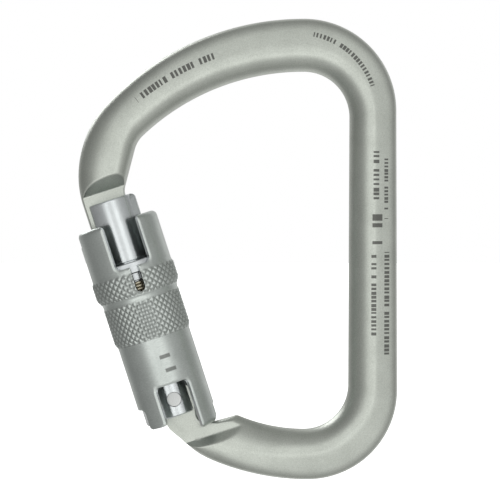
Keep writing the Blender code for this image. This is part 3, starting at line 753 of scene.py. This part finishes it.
def coil_mesh(name, mean_radius, wire_radius, turns, low, high, closed):
    """A coil of round wire between two heights. closed is how many turns lie close together at its
    lower and its upper end."""
    per_turn, sides = 36, 12
    turn = np.linspace(0.0, turns, turns * per_turn + 1)
    span = high - low - 2.0 * wire_radius
    dead = [CLOSED_PITCH * wire_radius * count for count in closed]
    places = (0.0, closed[0], turns - closed[1], turns)
    height = np.interp(turn, places, (0.0, dead[0], span - dead[1], span))
    angle = FULL_TURN * turn
    centre_z = low + wire_radius + height
    around = np.linspace(0.0, FULL_TURN, sides, endpoint=False)
    rings = []
    for a, z in zip(angle, centre_z):
        radius = mean_radius + wire_radius * np.cos(around)
        rise = z + wire_radius * np.sin(around)
        rings.append(np.stack([radius * math.cos(a), radius * math.sin(a), rise], -1))
    return loft_mesh(name, rings)


def build_springs():
    """The sleeve's spring round the gate's stem, and the plunger's spring in its bore."""
    low, high = 10.8, 32.2
    mesh = coil_mesh("sleeve_coil", 7.2, 0.4, 11, low, high, (1.0, 3.0))
    obj = add_object("sleeve_coil", mesh, AXIS_FRAME, COIL_SHARP)
    place_piece(obj, "gate", ["sleeve_spring"], WIRE)
    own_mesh(obj)
    low, high = 11.94, 17.9
    mesh = coil_mesh("gate_coil", 1.0, 0.25, 7, low, high, (1.0, 1.0))
    mesh.transform(Matrix.Translation(((PLUNGER_ACROSS + AXIS_ACROSS) * MM, 0.0, 0.0)))
    obj = add_object("gate_coil", mesh, GATE_FRAME, COIL_SHARP)
    place_piece(obj, "gate", ["gate_spring"], WIRE)
    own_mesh(obj)


# ---- The locking sleeve ----

SLEEVE_TOP, SLEEVE_BOTTOM = 48.2, -8.85
UPPER_RADIUS, LOWER_RADIUS, NECK_RADIUS = 10.7, 9.65, 10.05
KNURL_RADIUS, LOWER_KNURL_RADIUS = 11.12, 10.2
UPPER_BORE, LOWER_BORE = 9.4, 8.3
RIM_ROUND, FOOT_ROUND = 1.4, 1.2
SKIRT_BOTTOM = -5.6         # the sleeve's foot is higher on its outer side
# The outer profile from above the upper knurl to below the lower one, as (along, radius).
KNURL_PROFILE = (
    (34.8, UPPER_RADIUS), (33.9, KNURL_RADIUS), (30.1, KNURL_RADIUS), (29.2, 10.75),
    (28.3, 10.15), (27.7, NECK_RADIUS), (27.2, NECK_RADIUS), (27.0, LOWER_KNURL_RADIUS),
    (17.8, LOWER_KNURL_RADIUS), (16.6, LOWER_RADIUS),
)
KNURL_DEPTH = 0.3
KNURL_ROWS = 10             # rows of the mesh in the height of one diamond
KNURL_STEEPNESS = 1.45      # above 1, the diamonds are flat at their tops
KNURL_FADE = 0.35           # the length over which the grooves run out
UPPER_KNURL = (28.6, 34.6)
LOWER_KNURL = (16.7, 27.1)
SLEEVE_COLUMNS = 390
RING_GROOVE_RADIUS, RING_GROOVE = 8.9, (5.3, 6.7)
# Openings: half widths as arc lengths at the upper radius, heights along the sleeve.
WINDOW_HALF, WINDOW_FLOOR, WINDOW_CORNER = 4.98, 36.0, 1.4
KEY_HALF, KEY_BOTTOM = 1.06, 29.4       # the narrow slot below the window, over the guide pin
FOOT_SLOT_HALF, FOOT_SLOT_TOP = 4.75 * (UPPER_RADIUS / LOWER_RADIUS), 4.4
SIDE_SLOT_TOP = -0.3                    # the slot on the sleeve's outer side
SLOT_CORNER, SLOT_FLARE = 1.4, 1.0
NOSE_NOTCH = (2.9, 44.4, 0.5)           # half width, floor and corner of the notch at the nose
SHELF_NOTCH = (2.8, -4.25, 0.8)         # half width, top and corner of the notch at the shelf
NOTCH_REACH = 6.0                       # the notches' cutters begin this far from the axis
# The openings' chamfers: how far each widens, and how deep it reaches.
WINDOW_CHAMFER, FOOT_CHAMFER, SIDE_CHAMFER = (0.55, 0.28), (0.6, 0.3), (0.2, 0.2)
KEY_CHAMFER = 0.12


def sleeve_outside():
    """The outer profile from the rim down, dense where the knurl is."""
    points = arc_points((UPPER_RADIUS - RIM_ROUND, SLEEVE_TOP - RIM_ROUND), RIM_ROUND, 90.0, 0.0, 8)
    points += [(UPPER_RADIUS, along) for along in np.linspace(46.0, 35.0, 12)]
    heights = np.arange(34.7, 16.6, -KNURL_RISE / KNURL_ROWS)
    places = [-along for along, _ in KNURL_PROFILE]
    radii = np.interp(-heights, places, [radius for _, radius in KNURL_PROFILE])
    points += list(zip(radii, heights))
    foot = SLEEVE_BOTTOM + FOOT_ROUND
    points += [(LOWER_RADIUS, along) for along in np.linspace(16.4, foot + 0.5, 22)]
    points += arc_points((LOWER_RADIUS - FOOT_ROUND, foot), FOOT_ROUND, 0.0, -90.0, 7)
    return points


def sleeve_inside():
    """The bore from the foot up, with the retaining ring's groove and the step to the wide bore."""
    points = [(LOWER_BORE, SLEEVE_BOTTOM + 0.1)]
    points += [(LOWER_BORE, along) for along in np.linspace(-7.0, RING_GROOVE[0], 8)]
    points += [(RING_GROOVE_RADIUS, along) for along in RING_GROOVE]
    points.append((LOWER_BORE, RING_GROOVE[1]))
    points += [(LOWER_BORE, along) for along in np.linspace(9.0, 28.3, 8)]
    points += [(UPPER_BORE, along) for along in np.linspace(29.0, SLEEVE_TOP - 0.4, 14)]
    return points


def knurl_relief(angle, height, radius):
    """The knurl's grooves: two crossed sets that leave small diamonds standing."""
    around = angle * KNURL_AROUND / FULL_TURN
    rise = height / KNURL_RISE
    left = np.abs(np.mod(around + rise, 1.0) - 0.5) * 2.0
    right = np.abs(np.mod(around - rise, 1.0) - 0.5) * 2.0
    raised = np.clip(np.minimum(1.0 - left, 1.0 - right) * KNURL_STEEPNESS, 0.0, 1.0)
    zone = np.zeros_like(height)
    for low, high in (UPPER_KNURL, LOWER_KNURL):
        near = np.minimum(height - low, high - height)
        zone = np.maximum(zone, np.clip(near / KNURL_FADE, 0.0, 1.0))
    outside = radius > NECK_RADIUS - 0.5
    return np.where(outside, -KNURL_DEPTH * zone * (1.0 - raised), 0.0)


def wrapped_cutter(outline, flare, levels, centre_turn):
    """A cutter whose outline, in (arc length at the sleeve's surface, along), wraps round the axis.

    levels are (radius, share of flare); centre_turn is where the outline's middle points, from
    the front."""
    outline = np.array(outline)
    after = np.roll(outline, -1, 0)
    tangent = after - np.roll(outline, 1, 0)
    tangent /= np.linalg.norm(tangent, axis=1)[:, None]
    normal = np.stack([tangent[:, 1], -tangent[:, 0]], -1)
    area = np.sum(outline[:, 0] * after[:, 1] - after[:, 0] * outline[:, 1])
    if area < 0.0:
        normal = -normal
    flare = np.asarray(flare)[:, None]
    rings = []
    for radius, share in levels:
        shape = outline + normal * flare * share
        angle = shape[:, 0] / UPPER_RADIUS - math.pi / 2.0 + centre_turn
        rings.append(np.stack([radius * np.cos(angle), radius * np.sin(angle), shape[:, 1]], -1))
    return loft_mesh("wrapped", rings)


def edge_levels(surface, bore, edge):
    """Levels for a wrapped cutter: straight through the wall, then flaring to a chamfer."""
    inside, just_out, outside = bore - 2.0, surface + 0.02, surface + 3.0
    return [(inside, 0.0), (surface - edge, 0.0), (just_out, 1.0), (outside, 1.0)]


def dense(points, spacing=0.6):
    """The outline with points added along its long straight sides, so that it can be wrapped."""
    result = []
    for start, end in zip(points, points[1:] + points[:1]):
        steps = max(1, int(math.dist(start, end) / spacing))
        for step in range(steps):
            share = step / steps
            result.append(tuple(a + (b - a) * share for a, b in zip(start, end)))
    return result


def mirrored(right):
    """A closed outline from its right half, listed from the top or bottom middle outwards."""
    return right + [(-across, along) for across, along in reversed(right) if abs(across) > 1e-6]


def window_outline():
    """The front window, open at the top, with the narrow key slot below its floor."""
    half, corner = WINDOW_HALF, WINDOW_CORNER
    right = [(half + corner, SLEEVE_TOP + 1.0)]
    right += arc_points((half + corner, SLEEVE_TOP - corner), corner, 90.0, 180.0, 8)
    right += arc_points((half - corner, WINDOW_FLOOR + corner), corner, 0.0, -90.0, 8)
    right += [(KEY_HALF, WINDOW_FLOOR)]
    right += arc_points((0.0, KEY_BOTTOM + KEY_HALF), KEY_HALF, 0.0, -90.0, 8)
    return dense(mirrored(right))


def arch_outline(half, top, bottom, corner):
    """An opening with a flat top and rounded top corners, open at the bottom."""
    right = [(half, bottom)]
    right += arc_points((half - corner, top - corner), corner, 0.0, 90.0, 8)
    return dense(mirrored(right))


def slot_outline(half, top, left_floor, right_floor):
    """An opening whose lower corners round outwards where it meets the sleeve's foot."""
    out, into = half + SLOT_FLARE, half - SLOT_CORNER
    sides = []
    for floor in (right_floor, left_floor):
        side = [(out, SLEEVE_BOTTOM - 1.0)]
        side += arc_points((out, floor + SLOT_FLARE), SLOT_FLARE, 270.0, 180.0, 6)
        side += arc_points((into, top - SLOT_CORNER), SLOT_CORNER, 0.0, 90.0, 8)
        sides.append(side)
    return dense(sides[0] + [(-across, along) for across, along in reversed(sides[1])])


def slot_cutters():
    """The window, the front and back foot slots, and the slot on the sleeve's outer side."""
    window = window_outline()
    wide, deep = WINDOW_CHAMFER
    in_key = [abs(across) < KEY_HALF + 0.14 for across, _ in window]
    flare = [KEY_CHAMFER if narrow else wide for narrow in in_key]
    levels = edge_levels(UPPER_RADIUS, UPPER_BORE, deep)
    cutters = [wrapped_cutter(window, flare, levels, 0.0)]
    wide, deep = FOOT_CHAMFER
    levels = edge_levels(LOWER_RADIUS, LOWER_BORE, deep)
    front_floors = (SKIRT_BOTTOM, SLEEVE_BOTTOM)
    back_floors = (SLEEVE_BOTTOM, SKIRT_BOTTOM)
    for turn, floors in ((0.0, front_floors), (math.pi, back_floors)):
        foot = slot_outline(FOOT_SLOT_HALF, FOOT_SLOT_TOP, *floors)
        cutters.append(wrapped_cutter(foot, [wide] * len(foot), levels, turn))
    side = slot_outline(FOOT_SLOT_HALF, SIDE_SLOT_TOP, SKIRT_BOTTOM, SKIRT_BOTTOM)
    wide, deep = SIDE_CHAMFER
    levels = edge_levels(LOWER_RADIUS, LOWER_BORE, deep)
    cutters.append(wrapped_cutter(side, [wide] * len(side), levels, -math.pi / 2.0))
    return cutters


def notch_cutters():
    """The notches that let the bar's nose and shelf pass, which are square to the gate."""
    half, floor, corner = NOSE_NOTCH
    outline = arch_outline(half, SLEEVE_TOP + 2.0, floor, corner)
    nose = prism_mesh("nose", outline, -THROUGH, -NOTCH_REACH, "X")
    half, top, corner = SHELF_NOTCH
    outline = arch_outline(half, top, SLEEVE_BOTTOM - 1.0, corner)
    shelf = prism_mesh("shelf", outline, NOTCH_REACH, THROUGH, "X")
    for mesh in (nose, shelf):
        mesh.transform(Matrix.Rotation(-REST_TURN, 4, "Z"))
    return [nose, shelf]


def build_sleeve():
    """The knurled sleeve, a turned shell with its openings cut one after the other."""
    profile = sleeve_outside() + sleeve_inside()
    mesh = turned_mesh("sleeve", profile, SLEEVE_COLUMNS, knurl_relief)
    obj = add_object("locking_sleeve_shell", mesh, SLEEVE_FRAME)
    outline = box_outline(-THROUGH, -0.5, SLEEVE_BOTTOM - 1.0, SKIRT_BOTTOM)
    skirt = prism_mesh("skirt", outline, -THROUGH, THROUGH, "Y")
    cutters = slot_cutters() + [skirt] + notch_cutters()
    combine(obj, [("DIFFERENCE", mesh) for mesh in cutters], 34.0)
    found = special_faces(obj)
    place_piece(obj, "sleeve", ["locking_sleeve"], SLEEVE)
    obj.data.materials.append(KNURL)
    # the walls' lighter metal is a painted highlight
    obj.data.materials.append(CUT_WALL_HIGHLIGHT)
    for index, material in found:
        obj.data.polygons[index].material_index = material


KNURL_INDEX, CUT_WALL_HIGHLIGHT_INDEX = 1, 2       # the places of KNURL and CUT_WALL_HIGHLIGHT among the sleeve's materials
WALL_TILT = 0.3                     # a wall's normal points outwards by less than this share


def special_faces(obj):
    """The faces of the knurled bands and of the openings' milled walls, each with its material's
    number; the walls take a metal lighter than the sleeve's, as a painted highlight. They are found
    while the sleeve's mesh is still in its own frame."""
    found = []
    for polygon in obj.data.polygons:
        centre, normal = polygon.center, polygon.normal
        along = centre.z / MM
        radius = math.hypot(centre.x, centre.y) / MM
        outward = (normal.x * centre.x + normal.y * centre.y) / radius / MM
        in_wall = LOWER_BORE + 0.05 < radius < UPPER_RADIUS - 0.05 and along < SLEEVE_TOP - 0.2
        in_band = any(low < along < high for low, high in (UPPER_KNURL, LOWER_KNURL))
        if in_wall and abs(outward) < WALL_TILT:
            found.append((polygon.index, CUT_WALL_HIGHLIGHT_INDEX))
        elif in_band and radius > LOWER_RADIUS:
            found.append((polygon.index, KNURL_INDEX))
    return found


# ---- Assembly, light and camera ----

build_bar()
build_gate()
build_rivet()
build_collar()
build_springs()
build_sleeve()

# The materials of the CAD nodes that are seen as they are.
NODE_MATERIALS = (
    (RIVET_METAL, ("guide_pin", "collar_cross_pin", "gate_plunger")),
    (SATIN, ("thrust_washer", "sleeve_bush", "sleeve_retaining_ring")),
)
for node_material, node_names in NODE_MATERIALS:
    for node_name in node_names:
        node = frame["nodes"][node_name]
        node.data.materials.clear()
        node.data.materials.append(node_material)

AIM = Vector((-0.01184, 0.0, -0.04619))     # the place in metres at the picture's centre
CAMERA_DISTANCE = 0.5
CAMERA_RISE = 2.0           # how far the camera looks down, in degrees
FIELD_WIDTH = 0.13          # the width of the picture at the carabiner's plane
SENSOR_WIDTH = 36.0


def direction(azimuth, elevation):
    """The direction from the object, with azimuth 0 to the front and 90 to the spine's side."""
    a, e = math.radians(azimuth), math.radians(elevation)
    return Vector((math.sin(a) * math.cos(e), -math.cos(a) * math.cos(e), math.sin(e)))


def make_camera():
    """The camera at the photo's angle, with the carabiner filling the picture as it does there."""
    data = bpy.data.cameras.new("camera")
    camera = new_object("camera", data)
    data.sensor_width = SENSOR_WIDTH
    data.lens = SENSOR_WIDTH * CAMERA_DISTANCE / FIELD_WIDTH
    data.clip_start = 0.01
    data.clip_end = 50.0
    back = direction(0.0, CAMERA_RISE)
    camera.location = AIM + back * CAMERA_DISTANCE
    camera.rotation_euler = (-back).to_track_quat("-Z", "Y").to_euler()
    bpy.context.scene.camera = camera


def softbox(name, azimuth, elevation, distance, width, height, radiance):
    """A rectangular lamp facing the object, given by the brightness of its surface."""
    data = bpy.data.lights.new(name, "AREA")
    data.shape = "RECTANGLE"
    data.size = width
    data.size_y = height
    data.energy = radiance * math.pi * width * height
    lamp = new_object(name, data)
    away = direction(azimuth, elevation)
    lamp.location = AIM + away * distance
    lamp.rotation_euler = away.to_track_quat("Z", "Y").to_euler()
    lamp.visible_camera = False


# The room's brightness by the angle in degrees from the camera's side.
ROOM = (
    (0, 0.77), (9, 0.94), (20, 1.37), (32, 1.03), (46, 0.66), (62, 0.54), (85, 0.47),
    (105, 0.4), (122, 0.46), (142, 0.78), (165, 0.62), (180, 0.5),
)
# The room is darker to the left and above, and brighter below: the axis, where the change starts
# and is full along it, and the share of the brightness there.
ROOM_SHADES = (("X", -0.15, -0.65, 0.7), ("Z", 0.2, 0.7, 0.92), ("Z", -0.05, -0.45, 1.15))
ROOM_COLOUR = (1.0, 1.0, 0.985, 1.0)
WHITE = (1.0, 1.0, 1.0, 1.0)


def make_world():
    """A light tent: a white room that is brightest round the camera and dark at the sides.

    The camera itself sees plain white."""
    world = bpy.data.worlds.new("studio")
    bpy.context.scene.world = world
    nodes = Nodes(world)
    nodes.tree.nodes.clear()
    place = dict(zip("XYZ", nodes.axes(nodes.add("ShaderNodeTexCoord").outputs["Generated"])))
    angle = nodes.math("ARCCOSINE", nodes.product(place["Y"], -1.0))
    curve = nodes.add("ShaderNodeFloatCurve", {"Value": nodes.math("DIVIDE", angle, math.pi)})
    curve.mapping.use_clip = False
    points = curve.mapping.curves[0].points
    for index, (degrees, brightness) in enumerate(ROOM):
        spot = (degrees / 180.0, brightness)
        if index < 2:
            points[index].location = spot
        else:
            points.new(*spot)
    curve.mapping.update()
    strength = curve.outputs["Value"]
    for axis, start, end, left in ROOM_SHADES:
        shade = nodes.ramp(place[axis], start, end, 1.0, left, interpolation_type="SMOOTHSTEP")
        strength = nodes.product(strength, shade)
    room = nodes.add("ShaderNodeBackground", {"Color": ROOM_COLOUR, "Strength": strength})
    plain = nodes.add("ShaderNodeBackground", {"Color": WHITE})
    camera_ray = nodes.add("ShaderNodeLightPath").outputs["Is Camera Ray"]
    inputs = {0: camera_ray, 1: room.outputs[0], 2: plain.outputs[0]}
    mixed = nodes.add("ShaderNodeMixShader", inputs).outputs[0]
    nodes.add("ShaderNodeOutputWorld", {"Surface": mixed})


def make_floor():
    """A pale round floor well below the hanging carabiner, with its sizes in metres."""
    size, level, sides = 6.0, -0.30, 64
    mesh = bpy.data.meshes.new("floor")
    circle = arc_points((0.0, 0.0), size, 0.0, 360.0, sides)[:-1]
    points = [(x, y, level) for x, y in circle]
    mesh.from_pydata(points, [], [tuple(range(sides))])
    floor = new_object("floor", mesh)
    material = bpy.data.materials.new("pale_floor")
    nodes = Nodes(material)
    nodes.set(Base_Color=(0.9, 0.9, 0.9, 1.0), Roughness=0.9)
    nodes.set(Emission_Color=WHITE, Emission_Strength=1.0)
    mesh.materials.append(material)
    floor.visible_glossy = False
    floor.visible_diffuse = False


make_camera()
make_world()
make_floor()
softbox(
    "back_box", azimuth=212.0, elevation=28.0, distance=0.9, width=0.42, height=0.42, radiance=2.4
)

bpy.context.scene.view_settings.view_transform = "Standard"
